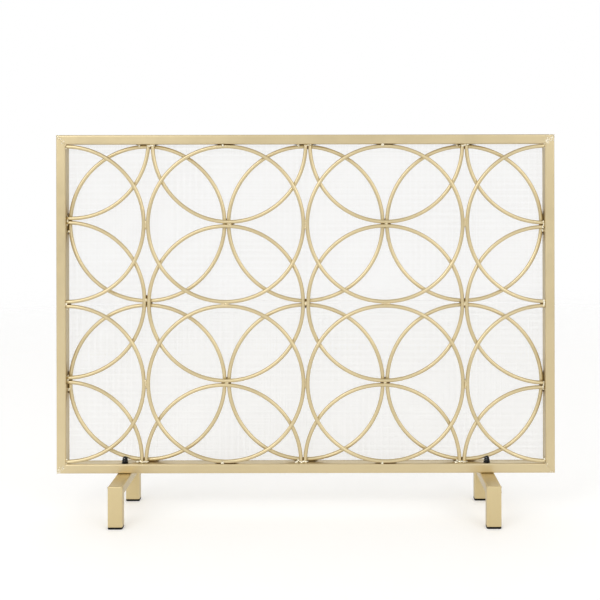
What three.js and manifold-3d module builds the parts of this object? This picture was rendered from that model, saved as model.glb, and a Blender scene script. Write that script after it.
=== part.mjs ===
// A free-standing fireplace screen: a mitred tube frame filled with three layers of round-rod rings,
// a woven spark mesh behind them, and two bridge-shaped legs, each bolted up through the bottom rail.
//
// Millimetres. +X runs along the screen, +Y from the room side to the fire side, +Z up. The origin is
// on the floor, under the middle of the legs.

import * as THREE from "three";
import { mergeVertices } from "three/addons/utils/BufferGeometryUtils.js";
import Module from "manifold-3d";

const wasm = await Module();
wasm.setup();

// ---------------------------------------------------------------- driving dimensions

const GAP = 0.3; // between pieces that touch
const PITCH = 168.5; // of the ring lattice, both ways
const COLUMNS = 6;
const ROWS = 4;

const FRAME_TUBE = { face: 20, depth: 25, wall: 1.2, corner: 2.5 };
const LEG_TUBE = { face: 20, depth: 30, wall: 1.5, corner: 2.5 };
const CORNER_SEGMENTS = 3;

const OPENING_WIDTH = COLUMNS * PITCH;
const OPENING_HEIGHT = ROWS * PITCH;
const PANEL_WIDTH = OPENING_WIDTH + 2 * FRAME_TUBE.face;
const PANEL_HEIGHT = OPENING_HEIGHT + 2 * FRAME_TUBE.face;
const PANEL_Y = 2; // the bolts stand this far in front of the panel's middle, clear of the back rings

const ROD = { diameter: 8, sides: 8, ringRadius: 164, ringSegments: 32, layerStep: 8.3 };

// The middle layer's rods are welded to the frame in pairs, by eye. This is how far each pair stands off
// the lattice: along +X by its column on the rails, and along +Z by its row on the stiles.
const END_SHIFT = {
  top: { 1: 9, 3: 5, 5: 0 },
  bottom: { 1: -6, 3: -6, 5: -6.5 },
  left: { 1: 8, 3: 7 },
  right: { 1: -2.5, 3: -5.5 },
};

const MESH = { thickness: 0.5, overlap: 10 };
const STRIP = { width: 14, thickness: 1.5 };

const LEG = { x: 383, length: 188, height: 87 };
const FOOT = { flange: 4.5, plugHeight: 12 };

const BOLT = { radius: 3, headAcrossFlats: 11, headHeight: 4, sides: 12 };
const WASHER = { holeRadius: 3.3, radius: 6.9, thickness: 1.6 };
const CAP_NUT = {
  acrossFlats: 11,
  hexHeight: 4.6,
  domeRadius: 5.2,
  domeFoot: 1,
  height: 11.6,
  boreDepth: 8,
};
const THREAD_CLEARANCE = 0.08;
const THREAD_ENGAGEMENT = 7;
const BOLT_HOLE = { radius: 3.3, sides: 16 };
const ROUND_SEGMENTS = 24;

// Heights of the parts that each bolt holds together, from the bottom up.
const LEG_TOP = LEG.height - GAP;
const LEG_BAR_UNDERSIDE = LEG_TOP - LEG_TUBE.face;
const HEAD_WASHER_Z = LEG_BAR_UNDERSIDE - GAP - WASHER.thickness;
const BOLT_HEAD_TOP = HEAD_WASHER_Z - GAP;
const NUT_WASHER_Z = LEG.height + FRAME_TUBE.face + GAP;
const NUT_Z = NUT_WASHER_Z + WASHER.thickness + GAP;
const BOLT_TIP = NUT_Z + THREAD_ENGAGEMENT;

const UP = new THREE.Vector3(0, 0, 1);
const DOWN = new THREE.Vector3(0, 0, -1);
const RIGHT = new THREE.Vector3(1, 0, 0);
const LEFT = new THREE.Vector3(-1, 0, 0);
const BACK = new THREE.Vector3(0, 1, 0);
const FRONT = new THREE.Vector3(0, -1, 0);

// ---------------------------------------------------------------- materials

const steelPaint = { roughness: 0.38, metalness: 0.75 };
const frameMaterial = new THREE.MeshStandardMaterial({ color: 0xdac9a0, ...steelPaint });
const ringMaterial = new THREE.MeshStandardMaterial({ color: 0xd8c28c, ...steelPaint });
const legMaterial = new THREE.MeshStandardMaterial({ color: 0xd6c290, ...steelPaint });
const meshMaterial = new THREE.MeshStandardMaterial({ color: 0xc9c6bd, roughness: 0.45, metalness: 0.8 });
const blackSteel = { color: 0x1c1b19, roughness: 0.35, metalness: 0.6 };
const blackSteelMaterial = new THREE.MeshStandardMaterial(blackSteel);
const rubberMaterial = new THREE.MeshStandardMaterial({ color: 0x171614, roughness: 0.8, metalness: 0 });

// ---------------------------------------------------------------- solids and meshes

// A closed three.js geometry as a solid that can be cut and joined.
function toSolid(geometry) {
  const bare = geometry.clone();
  bare.deleteAttribute("normal");
  bare.deleteAttribute("uv");
  const merged = mergeVertices(bare, 1e-4);
  return new wasm.Manifold(
    new wasm.Mesh({
      numProp: 3,
      vertProperties: merged.attributes.position.array,
      triVerts: new Uint32Array(merged.index.array),
    }),
  );
}

function toGeometry(solid) {
  const { vertProperties, triVerts } = solid.getMesh();
  const shared = new THREE.BufferGeometry();
  shared.setAttribute("position", new THREE.BufferAttribute(vertProperties, 3));
  shared.setIndex(new THREE.BufferAttribute(triVerts, 1));
  const faceted = shared.toNonIndexed();
  faceted.computeVertexNormals();
  return faceted;
}

function namedMesh(name, solid, material) {
  const mesh = new THREE.Mesh(toGeometry(solid), material);
  mesh.name = name;
  return mesh;
}

// Turns a mesh so that its length (+X) runs along one direction and its outer face (+Z) looks along
// another.
function aim(mesh, along, outward) {
  const across = new THREE.Vector3().crossVectors(outward, along);
  mesh.applyMatrix4(new THREE.Matrix4().makeBasis(along, across, outward));
  return mesh;
}

// The distance from the axis to the corners of a polygon with the same area as a circle.
function equalAreaRadius(radius, sides) {
  return radius * Math.sqrt((2 * Math.PI) / (sides * Math.sin((2 * Math.PI) / sides)));
}

// The distance to the corners of a polygon whose flats just clear a circle.
function clearingRadius(radius, sides) {
  return radius / Math.cos(Math.PI / sides);
}

function box(width, depth, height, x = 0, y = 0, z = 0) {
  return toSolid(new THREE.BoxGeometry(width, depth, height).translate(x, y, z));
}

// An upright prism or cylinder from z = bottom, centred on x and y.
function upright(radius, height, sides, bottom, x = 0, y = 0) {
  const geometry = new THREE.CylinderGeometry(radius, radius, height, sides);
  return toSolid(geometry.rotateX(Math.PI / 2).translate(x, y, bottom + height / 2));
}

// A shape turned about the upright axis: profile points are (radius, height).
function turned(points, segments) {
  const profile = points.map(([radius, height]) => new THREE.Vector2(radius, height));
  return toSolid(new THREE.LatheGeometry(profile, segments).rotateX(Math.PI / 2));
}

// ---------------------------------------------------------------- tubes

function roundedRectangle(width, height, corner, Outline = THREE.Shape) {
  const x = width / 2 - corner;
  const y = height / 2 - corner;
  const outline = new Outline();
  outline.absarc(x, y, corner, 0, Math.PI / 2);
  outline.absarc(-x, y, corner, Math.PI / 2, Math.PI);
  outline.absarc(-x, -y, corner, Math.PI, 1.5 * Math.PI);
  outline.absarc(x, -y, corner, 1.5 * Math.PI, 2 * Math.PI);
  outline.closePath();
  return outline;
}

// A hollow tube along +X from x = 0, with its outer face on z = 0 and its inner face below it.
function hollowTube(length, tube) {
  const outline = roundedRectangle(tube.face, tube.depth, tube.corner);
  const boreFace = tube.face - 2 * tube.wall;
  const boreDepth = tube.depth - 2 * tube.wall;
  outline.holes.push(roundedRectangle(boreFace, boreDepth, tube.corner - tube.wall, THREE.Path));
  const geometry = new THREE.ExtrudeGeometry(outline, {
    depth: length,
    bevelEnabled: false,
    curveSegments: CORNER_SEGMENTS,
  });
  return toSolid(geometry.rotateY(Math.PI / 2).translate(0, 0, -tube.face / 2));
}

// The same tube with its start, and its far end too if asked, cut back at 45 degrees from the outer face.
function mitredTube(length, tube, bothEnds = true) {
  const setBack = (GAP / 2) * Math.SQRT2;
  const top = tube.corner;
  const bottom = -tube.face - tube.corner;
  const farTop = bothEnds ? length - setBack + top : length;
  const farBottom = bothEnds ? length - setBack + bottom : length;
  const side = new THREE.Shape([
    new THREE.Vector2(setBack - top, top),
    new THREE.Vector2(setBack - bottom, bottom),
    new THREE.Vector2(farBottom, bottom),
    new THREE.Vector2(farTop, top),
  ]);
  const depth = 2 * tube.depth;
  const block = new THREE.ExtrudeGeometry(side, { depth, bevelEnabled: false });
  block.rotateX(Math.PI / 2).translate(0, depth / 2, 0);
  return hollowTube(length, tube).intersect(toSolid(block));
}

// Drills a bolt hole through both walls of a tube that lies along +X.
function withBoltHole(solid, tube, x, y = 0) {
  const depth = 2 * tube.face;
  const bottom = -1.5 * tube.face;
  return solid.subtract(upright(BOLT_HOLE.radius, depth, BOLT_HOLE.sides, bottom, x, y));
}

// ---------------------------------------------------------------- panel

function addFrame(panel) {
  const place = (name, solid, along, outward, x, z) => {
    const mesh = aim(namedMesh(name, solid, frameMaterial), along, outward);
    mesh.position.set(x, 0, z);
    panel.add(mesh);
  };
  const halfWidth = PANEL_WIDTH / 2;
  const rail = mitredTube(PANEL_WIDTH, FRAME_TUBE);
  const stile = mitredTube(PANEL_HEIGHT, FRAME_TUBE);
  let drilledRail = rail;
  for (const side of [-1, 1]) {
    const x = halfWidth + side * LEG.x;
    drilledRail = withBoltHole(drilledRail, FRAME_TUBE, x, -PANEL_Y);
  }
  place("top_rail", rail, RIGHT, UP, -halfWidth, PANEL_HEIGHT);
  place("bottom_rail", drilledRail, LEFT, DOWN, halfWidth, 0);
  place("left_stile", stile, UP, LEFT, -halfWidth, 0);
  place("right_stile", stile, DOWN, RIGHT, halfWidth, PANEL_HEIGHT);
}

// One whole ring standing in the XZ plane about the origin.
function wholeRing(ringRadius) {
  const radius = equalAreaRadius(ROD.diameter / 2, ROD.sides);
  const section = [];
  for (let k = 0; k <= ROD.sides; k++) {
    const angle = ((k + 0.5) / ROD.sides) * 2 * Math.PI;
    section.push(
      new THREE.Vector2(ringRadius + radius * Math.cos(angle), radius * Math.sin(angle)),
    );
  }
  return toSolid(new THREE.LatheGeometry(section, ROD.ringSegments));
}

// Lattice points carry a ring in the front, middle or back layer, by whether their column and row are
// even. Odd columns have none in even rows.
function layerAt(column, row) {
  if (column % 2 === 0) return row % 2 === 0 ? "middle" : "front";
  return row % 2 === 0 ? null : "back";
}

// The mean shift of a ring's ends on one side of the frame, and half of what it widens by between them.
function endShift(shifts, index) {
  const ends = [shifts[index - 1], shifts[index + 1]].filter((shift) => shift !== undefined);
  const mean = (ends[0] + ends[ends.length - 1]) / 2;
  return { mean, widening: (ends[ends.length - 1] - ends[0]) / 2 };
}

// Where a ring is centred, from the panel's middle, and its radius. A ring whose ends stand closer
// together is bent tighter and centred further in, so that it still meets its inner neighbour.
function ringPlace(column, row, layer) {
  let x = (column - COLUMNS / 2) * PITCH;
  let z = (ROWS / 2 - row) * PITCH;
  let radius = ROD.ringRadius;
  const rail = { 0: END_SHIFT.top, [ROWS]: END_SHIFT.bottom }[row];
  const stile = { 0: END_SHIFT.left, [COLUMNS]: END_SHIFT.right }[column];
  if (layer === "middle" && rail) {
    const { mean, widening } = endShift(rail, column);
    x += mean;
    z += Math.sign(z) * widening;
    radius += widening;
  }
  if (layer === "middle" && stile) {
    const { mean, widening } = endShift(stile, row);
    x -= Math.sign(x) * widening;
    z += mean;
    radius -= widening;
  }
  return { x, z, radius };
}

// A ring centred on the frame's inner edge is a half ring, and one centred on its corner a quarter ring,
// with ends that butt against the tubes.
function addRings(panel) {
  const layerY = { front: -ROD.layerStep, middle: 0, back: ROD.layerStep };
  for (let row = 0; row <= ROWS; row++) {
    for (let column = 0; column <= COLUMNS; column++) {
      const layer = layerAt(column, row);
      if (!layer) continue;
      const { x, z, radius } = ringPlace(column, row, layer);
      const ring = wholeRing(radius);
      const width = OPENING_WIDTH - 2 * GAP;
      const height = OPENING_HEIGHT - 2 * GAP;
      const opening = box(width, 2 * FRAME_TUBE.depth, height, -x, 0, -z);
      const onSide = column === 0 || column === COLUMNS;
      const onEnd = row === 0 || row === ROWS;
      const kind = onSide && onEnd ? "quarter_ring" : onSide || onEnd ? "half_ring" : "ring";
      const solid = kind === "ring" ? ring : ring.intersect(opening);
      const mesh = namedMesh(`${layer}_${kind}_c${column + 1}_r${row + 1}`, solid, ringMaterial);
      mesh.position.set(x, layerY[layer], PANEL_HEIGHT / 2 + z);
      panel.add(mesh);
    }
  }
}

// The mesh lies on the back of the frame, under four flat strips that are spot-welded to it.
function addMesh(panel) {
  const meshY = FRAME_TUBE.depth / 2 + GAP + MESH.thickness / 2;
  const meshWidth = OPENING_WIDTH + 2 * MESH.overlap;
  const meshHeight = OPENING_HEIGHT + 2 * MESH.overlap;
  const sheet = namedMesh("spark_mesh", box(meshWidth, MESH.thickness, meshHeight), meshMaterial);
  sheet.position.set(0, meshY, PANEL_HEIGHT / 2);
  panel.add(sheet);

  const stripY = meshY + MESH.thickness / 2 + GAP + STRIP.thickness / 2;
  const across = box(OPENING_WIDTH + 2 * STRIP.width, STRIP.thickness, STRIP.width);
  const upDown = box(STRIP.width, STRIP.thickness, OPENING_HEIGHT - 2 * GAP);
  const toSide = (OPENING_WIDTH + STRIP.width) / 2;
  const toEnd = (OPENING_HEIGHT + STRIP.width) / 2;
  const strips = [
    ["top_mesh_strip", across, 0, toEnd],
    ["bottom_mesh_strip", across, 0, -toEnd],
    ["left_mesh_strip", upDown, -toSide, 0],
    ["right_mesh_strip", upDown, toSide, 0],
  ];
  for (const [name, solid, x, z] of strips) {
    const strip = namedMesh(name, solid, frameMaterial);
    strip.position.set(x, stripY, PANEL_HEIGHT / 2 + z);
    panel.add(strip);
  }
}

function buildPanel() {
  const panel = new THREE.Group();
  addFrame(panel);
  addRings(panel);
  addMesh(panel);
  panel.position.set(0, PANEL_Y, LEG.height);
  return panel;
}

// ---------------------------------------------------------------- legs

// A rubber foot: a pad under the post with a plug that pushes up into it.
function footSolid() {
  const extrudeUp = (inset, height, corner) => {
    const outline = roundedRectangle(LEG_TUBE.depth - 2 * inset, LEG_TUBE.face - 2 * inset, corner);
    const options = { depth: height, bevelEnabled: false, curveSegments: CORNER_SEGMENTS };
    return toSolid(new THREE.ExtrudeGeometry(outline, options));
  };
  const pad = extrudeUp(0, FOOT.flange - GAP, LEG_TUBE.corner);
  const plugInset = LEG_TUBE.wall + GAP;
  return pad.add(extrudeUp(plugInset, FOOT.flange + FOOT.plugHeight, LEG_TUBE.corner - LEG_TUBE.wall));
}

function addLegFrame(leg, side) {
  const halfLength = LEG.length / 2;
  const barSolid = withBoltHole(mitredTube(LEG.length, LEG_TUBE), LEG_TUBE, halfLength);
  const bar = aim(namedMesh(`${side}_leg_bar`, barSolid, legMaterial), BACK, UP);
  bar.position.set(0, -halfLength, LEG_TOP);
  leg.add(bar);

  const postSolid = mitredTube(LEG_TOP - FOOT.flange, LEG_TUBE, false);
  for (const [end, outward] of [["front", FRONT], ["rear", BACK]]) {
    const post = aim(namedMesh(`${side}_${end}_post`, postSolid, legMaterial), DOWN, outward);
    post.position.set(0, outward.y * halfLength, LEG_TOP);
    leg.add(post);

    const foot = namedMesh(`${side}_${end}_foot`, footSolid(), rubberMaterial);
    foot.position.set(0, outward.y * (halfLength - LEG_TUBE.face / 2), 0);
    leg.add(foot);
  }
}

// The bolt comes up through the leg bar and the bottom rail. Its thread is a plain shank.
function boltSolid() {
  const headRadius = BOLT.headAcrossFlats / Math.sqrt(3);
  const head = upright(headRadius, BOLT.headHeight, 6, BOLT_HEAD_TOP - BOLT.headHeight);
  const shankBottom = BOLT_HEAD_TOP - BOLT.headHeight / 2;
  return head.add(upright(BOLT.radius, BOLT_TIP - shankBottom, BOLT.sides, shankBottom));
}

function washerSolid() {
  const { holeRadius, radius, thickness } = WASHER;
  const profile = [
    [holeRadius, 0],
    [radius, 0],
    [radius, thickness],
    [holeRadius, thickness],
    [holeRadius, 0],
  ];
  return turned(profile, ROUND_SEGMENTS);
}

// A domed cap nut: a hexagon with a round dome on it and a blind bore.
function capNutSolid() {
  const dome = [[0, CAP_NUT.domeFoot], [CAP_NUT.domeRadius, CAP_NUT.domeFoot]];
  const domeSteps = 5;
  const shoulder = CAP_NUT.height - CAP_NUT.domeRadius;
  for (let k = 0; k <= domeSteps; k++) {
    const angle = (k / domeSteps) * (Math.PI / 2);
    const radius = k === domeSteps ? 0 : CAP_NUT.domeRadius * Math.cos(angle);
    dome.push([radius, shoulder + CAP_NUT.domeRadius * Math.sin(angle)]);
  }
  const hexagon = upright(CAP_NUT.acrossFlats / Math.sqrt(3), CAP_NUT.hexHeight, 6, 0);
  const boreRadius = clearingRadius(BOLT.radius + THREAD_CLEARANCE, BOLT_HOLE.sides);
  const bore = upright(boreRadius, CAP_NUT.boreDepth + GAP, BOLT_HOLE.sides, -GAP);
  return hexagon.add(turned(dome, ROUND_SEGMENTS)).subtract(bore);
}

function addFasteners(leg, side) {
  const stack = [
    [`${side}_bolt`, boltSolid(), 0],
    [`${side}_head_washer`, washerSolid(), HEAD_WASHER_Z],
    [`${side}_nut_washer`, washerSolid(), NUT_WASHER_Z],
    [`${side}_cap_nut`, capNutSolid(), NUT_Z],
  ];
  for (const [name, solid, z] of stack) {
    const mesh = namedMesh(name, solid, blackSteelMaterial);
    mesh.position.z = z;
    leg.add(mesh);
  }
}

function buildLeg(side, x) {
  const leg = new THREE.Group();
  addLegFrame(leg, side);
  addFasteners(leg, side);
  leg.position.x = x;
  return leg;
}

// ---------------------------------------------------------------- the whole screen

const screen = new THREE.Group();
screen.add(buildPanel(), buildLeg("left", -LEG.x), buildLeg("right", LEG.x));

export default screen;
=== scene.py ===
"""Looks for the free-standing fireplace screen: a gold tube frame, three layers of round-rod rings with
their welds, woven spark mesh, bolted legs, black cap nuts and rubber feet.

Sizes are millimetres until a mesh is made, and Blender's metres after that. +X runs along the screen, +Y
from the room side to the fire side, +Z up.
"""

import math

import bpy
import numpy as np
from mathutils import Matrix, Vector, noise


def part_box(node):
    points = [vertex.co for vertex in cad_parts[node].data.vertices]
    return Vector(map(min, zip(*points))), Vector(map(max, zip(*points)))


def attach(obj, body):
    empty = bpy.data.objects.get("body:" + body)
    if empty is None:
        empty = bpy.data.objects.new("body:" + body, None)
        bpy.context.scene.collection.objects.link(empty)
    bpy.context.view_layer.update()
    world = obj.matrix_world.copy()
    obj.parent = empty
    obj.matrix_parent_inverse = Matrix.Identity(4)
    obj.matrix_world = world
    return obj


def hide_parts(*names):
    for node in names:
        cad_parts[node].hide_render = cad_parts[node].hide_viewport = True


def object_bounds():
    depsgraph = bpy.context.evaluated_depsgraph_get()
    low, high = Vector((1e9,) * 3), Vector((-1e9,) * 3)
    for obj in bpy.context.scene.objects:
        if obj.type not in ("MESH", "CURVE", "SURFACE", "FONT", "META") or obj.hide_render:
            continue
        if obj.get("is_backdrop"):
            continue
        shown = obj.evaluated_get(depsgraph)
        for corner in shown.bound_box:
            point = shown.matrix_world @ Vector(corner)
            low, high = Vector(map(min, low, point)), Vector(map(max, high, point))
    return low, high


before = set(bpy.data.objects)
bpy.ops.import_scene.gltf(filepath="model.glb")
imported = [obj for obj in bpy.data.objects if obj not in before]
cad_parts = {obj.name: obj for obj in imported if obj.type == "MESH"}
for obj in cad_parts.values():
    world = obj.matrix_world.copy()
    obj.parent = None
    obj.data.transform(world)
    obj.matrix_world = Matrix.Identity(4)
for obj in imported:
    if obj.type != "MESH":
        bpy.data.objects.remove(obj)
cad_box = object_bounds()

MM = 0.001
SEED = 11

# -------- sizes of the looks, in millimetres

# Spaces of the ring lattice, the rods, and the swelling and nick at each ring's ground butt weld.
COLUMNS, ROWS = 6, 4
ROD_RADIUS = 4.0
ROD_SIDES = 20
RING_STEPS = 208
RING_WOBBLE = 0.12
SEAM_SWELL = 0.22
SEAM_LENGTH = 5.0
SEAM_NICK = 0.5
SEAM_NICK_LENGTH = 1.3

# Square tubes: their rounded edges, ground outside corners and open ends.
TUBE_CORNER = 3.0
CORNER_STEPS = 6
FLAT_HOLD = 0.4
GROUND_CORNER = 2.4
LEG_WALL = 1.5
OPEN_END_RUN = 3.0
OPEN_END_LIP = 0.25
OPEN_END_EASE = 0.985
PLUG_ROOM = 20.0

# Woven wire: the loom's reed draws it together in groups, and each wire strays a touch.
WIRE_PITCH = 2.54
WIRE_RADIUS = 0.14
WIRE_SIDES = 3
WIRE_GROUPS = 4
MESH_SAG = 0.5
REED_WIRES = 5
REED_SHIFT = 0.5
WIRE_WANDER = 0.15
WIRE_STRAY_MOST = 0.4

# Flat strips: eased edges, and the dimple with a low rim that a spot welder leaves.
STRIP_EDGE = 0.35
STRIP_FLAT_FROM = 1.2
STRIP_FLAT_ROWS = 13
SPOT_PITCH = 84.0
SPOT_RADIUS = 3.0
SPOT_DEPTH = 0.35
SPOT_REACH = 1.7
SPOT_STEPS = 17
SPOT_RIM = 0.35
SPOT_RIM_PLACE = 1.15
SPOT_RIM_WIDTH = 0.22

rng = np.random.default_rng(SEED)


# -------- frame boxes


def box_mm(*nodes):
    """The lowest and highest corner of some CAD nodes together, in millimetres."""
    boxes = [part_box(node) for node in nodes]
    low = np.min([np.array(b[0]) for b in boxes], axis=0) / MM
    high = np.max([np.array(b[1]) for b in boxes], axis=0) / MM
    return low, high


PANEL_LOW, PANEL_HIGH = box_mm("top_rail", "bottom_rail", "left_stile", "right_stile")
OPENING_LOW = np.array([box_mm("left_stile")[1][0], 0, box_mm("bottom_rail")[1][2]])
OPENING_HIGH = np.array([box_mm("right_stile")[0][0], 0, box_mm("top_rail")[0][2]])
OPENING_MIDDLE = (OPENING_LOW + OPENING_HIGH) / 2
FRAME_FACE = OPENING_LOW[0] - PANEL_LOW[0]
PITCH = (OPENING_HIGH[0] - OPENING_LOW[0]) / COLUMNS
RING_RADIUS = 164.0
RING_REACH = (box_mm("front_ring_c3_r2")[1][0] - box_mm("front_ring_c3_r2")[0][0]) / 2


# -------- meshes


def make_mesh(name, vertices, quads, caps=()):
    """A smooth-shaded mesh from millimetre points, quads and end polygons."""
    mesh = bpy.data.meshes.new(name)
    quads = np.asarray(quads, dtype=np.int32).reshape(-1, 4)
    corners = np.concatenate([quads.ravel(), *[np.asarray(cap, dtype=np.int32) for cap in caps]])
    counts = np.array([4] * len(quads) + [len(cap) for cap in caps], dtype=np.int32)
    starts = np.concatenate([[0], np.cumsum(counts)[:-1]]).astype(np.int32)
    mesh.vertices.add(len(vertices))
    metres = (np.asarray(vertices, dtype=np.float64) * MM).astype(np.float32)
    mesh.vertices.foreach_set("co", metres.ravel())
    mesh.loops.add(len(corners))
    mesh.loops.foreach_set("vertex_index", corners)
    mesh.polygons.add(len(counts))
    mesh.polygons.foreach_set("loop_start", starts)
    mesh.polygons.foreach_set("use_smooth", np.ones(len(counts), dtype=bool))
    mesh.update(calc_edges=True)
    mesh.validate()
    return mesh


def add_piece(name, mesh, material, body, replaced=()):
    """Puts a mesh in the scene as a piece that rides on a body."""
    piece = bpy.data.objects.new(name, mesh)
    bpy.context.scene.collection.objects.link(piece)
    mesh.materials.append(material)
    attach(piece, body)
    if replaced:
        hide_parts(*replaced)
    return piece


def loft(sections, closed=False):
    """Points, quads and caps of a skin over equal-sized closed sections, given in order along +length."""
    sections = np.asarray(sections, dtype=float)
    count, sides, _ = sections.shape
    spans = count if closed else count - 1
    row = np.arange(spans)[:, None]
    col = np.arange(sides)[None, :]
    after = (row + 1) % count
    turn = (col + 1) % sides
    quads = np.stack(
        [row * sides + col, row * sides + turn, after * sides + turn, after * sides + col], axis=-1
    ).reshape(-1, 4)
    caps = []
    if not closed:
        caps = [list(range(sides - 1, -1, -1)), list(range((count - 1) * sides, count * sides))]
    return sections.reshape(-1, 3), quads, caps


def merge(parts):
    """Joins several (points, quads, caps) into one."""
    points, quads, caps, offset = [], [], [], 0
    for part_points, part_quads, part_caps in parts:
        points.append(part_points)
        quads.append(np.asarray(part_quads) + offset)
        caps.extend([[index + offset for index in cap] for cap in part_caps])
        offset += len(part_points)
    return np.concatenate(points), np.concatenate(quads), caps


def rounded_outline(width, height, corner, steps=CORNER_STEPS, hold=FLAT_HOLD):
    """A rounded rectangle, anticlockwise, with a point beside each corner that keeps the flats flat."""
    points = []
    for k, (side_x, side_y) in enumerate(((1, 1), (-1, 1), (-1, -1), (1, -1))):
        centre = np.array([side_x * (width / 2 - corner), side_y * (height / 2 - corner)])
        angles = [(k + n / steps) * math.pi / 2 for n in range(steps + 1)]
        arc = [centre + corner * np.array([math.cos(a), math.sin(a)]) for a in angles]
        before = hold * np.array([math.sin(angles[0]), -math.cos(angles[0])])
        after = hold * np.array([-math.sin(angles[-1]), math.cos(angles[-1])])
        points += [arc[0] + before, *arc, arc[-1] + after]
    return np.array(points)


# -------- mitred tubes

MITRE_STATIONS = (0, 0.3, 0.6, 0.9, 1.2, 1.6, 2.0, 2.6, 5, 9)


def grind_corner(along, out):
    """Rounds the outside corner where two mitred tubes meet, as a grinder leaves it."""
    reach_along = along - GROUND_CORNER
    reach_out = out + GROUND_CORNER
    distance = np.hypot(reach_along, reach_out)
    outside = (reach_along < 0) & (reach_out > 0) & (distance > GROUND_CORNER)
    scale = np.where(outside, GROUND_CORNER / np.maximum(distance, 1e-9), 1)
    rounded_along = np.where(outside, GROUND_CORNER + reach_along * scale, along)
    rounded_out = np.where(outside, -GROUND_CORNER + reach_out * scale, out)
    return rounded_along, rounded_out


def section_along(along, outline, face):
    """A closed section of a tube at one place along it, from an outline round the tube's middle."""
    return np.stack([np.full(len(outline), along), outline[:, 0], outline[:, 1] - face / 2], axis=1)


def tube_sections(length, face, depth, far_mitre=True):
    """Sections (along, across, out) of a tube from its start mitre to its far mitre or open square end."""
    outline = rounded_outline(depth, face, TUBE_CORNER)
    across, out = outline[:, 0], outline[:, 1] - face / 2
    sections = []
    for station in MITRE_STATIONS:
        along, ground = grind_corner(-out + station, out)
        sections.append(np.stack([along, across, ground], axis=1))
    if far_mitre:
        for station in reversed(MITRE_STATIONS):
            from_end, ground = grind_corner(-out + station, out)
            sections.append(np.stack([length - from_end, across, ground], axis=1))
        return sections
    bore = rounded_outline(depth - 2 * LEG_WALL, face - 2 * LEG_WALL, TUBE_CORNER - LEG_WALL)
    open_end = (
        (length - OPEN_END_RUN, outline),
        (length - OPEN_END_LIP, outline),
        (length, outline * OPEN_END_EASE),
        (length, bore),
        (length - PLUG_ROOM, bore),
    )
    sections += [section_along(place, shape, face) for place, shape in open_end]
    return sections


def tube_mesh(name, origin, along, outward, length, face, depth, far_mitre=True):
    """A tube mesh, with its outer corner line starting at origin."""
    along, outward = np.array(along, float), np.array(outward, float)
    across = np.cross(outward, along)
    placed = [
        np.array(origin) + s[:, :1] * along + s[:, 1:2] * across + s[:, 2:] * outward
        for s in tube_sections(length, face, depth, far_mitre)
    ]
    return make_mesh(name, *loft(placed))


# -------- welds

# A point on a weld picks its lump from a noise, by where the weld is and where the point is on it.
LUMP_PLACE_SCALE = 0.13
LUMP_SHAPE_SCALE = 2.1
LUMP_GAIN = 1.6
RIPPLE_DEPTH = 0.07


def weld_blob(centre, axes, halves, lump=0.12, steps=22, sides=14, ripples=0.0):
    """A lumpy closed ellipsoid, from its half sizes along its length, width and height directions."""
    axes = np.array(axes, float)
    centre = np.array(centre, float)
    sections = []
    for k in range(steps + 1):
        u = -math.cos(math.pi * (k + 0.15) / (steps + 0.3))
        radius = math.sqrt(max(0.0, 1 - u * u)) * (1 + RIPPLE_DEPTH * math.sin(ripples * u * math.pi))
        ring = []
        for n in range(sides):
            angle = 2 * math.pi * n / sides
            local = np.array([u, radius * math.cos(angle), radius * math.sin(angle)])
            spot = centre * LUMP_PLACE_SCALE + local * LUMP_SHAPE_SCALE
            swell = 1 + lump * noise.noise(Vector(spot)) * LUMP_GAIN
            ring.append(centre + (local * np.array(halves) * swell) @ axes)
        sections.append(ring)
    return loft(sections)


def lattice_point(column, row):
    """Where a lattice point stands, in millimetres along X and Z."""
    return OPENING_LOW[0] + column * PITCH, OPENING_HIGH[2] - row * PITCH


# -------- rings

# The column and row of each layer's first ring. The others follow at every second column and row.
LAYERS = {"front": (0, 1), "middle": (0, 0), "back": (1, 1)}
# Where a ring is bent out of true: the angle in degrees, and how far out.
FLAT_SPOTS = {
    "middle_ring_c3_r3": ((0, -0.9),),
    "middle_ring_c5_r3": ((180, -0.9),),
    "front_ring_c3_r2": ((0, 0.35),),
    "front_ring_c5_r2": ((180, 0.35),),
}
FLAT_SPOT_WIDTH = 13.0
# The angles in degrees where a ring's butt weld may sit, clear of the places where rings cross.
SEAM_CHOICES = [12, 78, 102, 168, 192, 258, 282, 348]
SEAM_PLACES = {"front_ring_c3_r2": 96}

FRONT = np.array([0, -1, 0], float)
WELD_DRIFT = 2.5
DAB_WANDER = 0.35
DAB_LUMP = 0.22
DAB_STEPS = 12
# The roots are dark blobs in the crevices: scorched weld, with painted crevice shade in their dark brown.
ROOT_LUMP = 0.15
# Between two rods, by layer: half the length of the root, and the half length, size and count of the tacks.
TANGENT_WELDS = {
    "front": (5.0, (8.5, 2.1, 5)),
    "middle": (10.0, (2.6, 2.9, 2)),
    "back": (10.0, (2.6, 2.9, 2)),
}
TANGENT_ROOT = (1.9, 2.4)
# How far from a ring's touching point the welder put the big bead that holds it to the frame.
SIDE_BEADS = {"front": -6.0, "middle": -6.0, "back": -15.0}
SIDE_BEAD_SIZE = (2.8, 3.2)
SIDE_TACK_PLACE = (13, 17)
SIDE_ROOT = (23, 1.1, 3.4)
PAIR_BEADS = {"rail": 2.5, "left": 1.7, "right": 2.3}
PAIR_BEAD_PLACES = {"bottom": (-3.0, -0.9, 0, 0.9), "other": (-0.9, 0, 0.9)}
PAIR_ROOT = (5.5, 1.5, 2.4)
SPATTER_DROPS = 4
END_DABS = (4.4, 2.5, 3)


def rings_of(layer):
    """The (column, row) of each ring in a layer."""
    first_column, first_row = LAYERS[layer]
    rows, columns = range(first_row, ROWS + 1, 2), range(first_column, COLUMNS + 1, 2)
    return [(column, row) for row in rows for column in columns]


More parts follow.
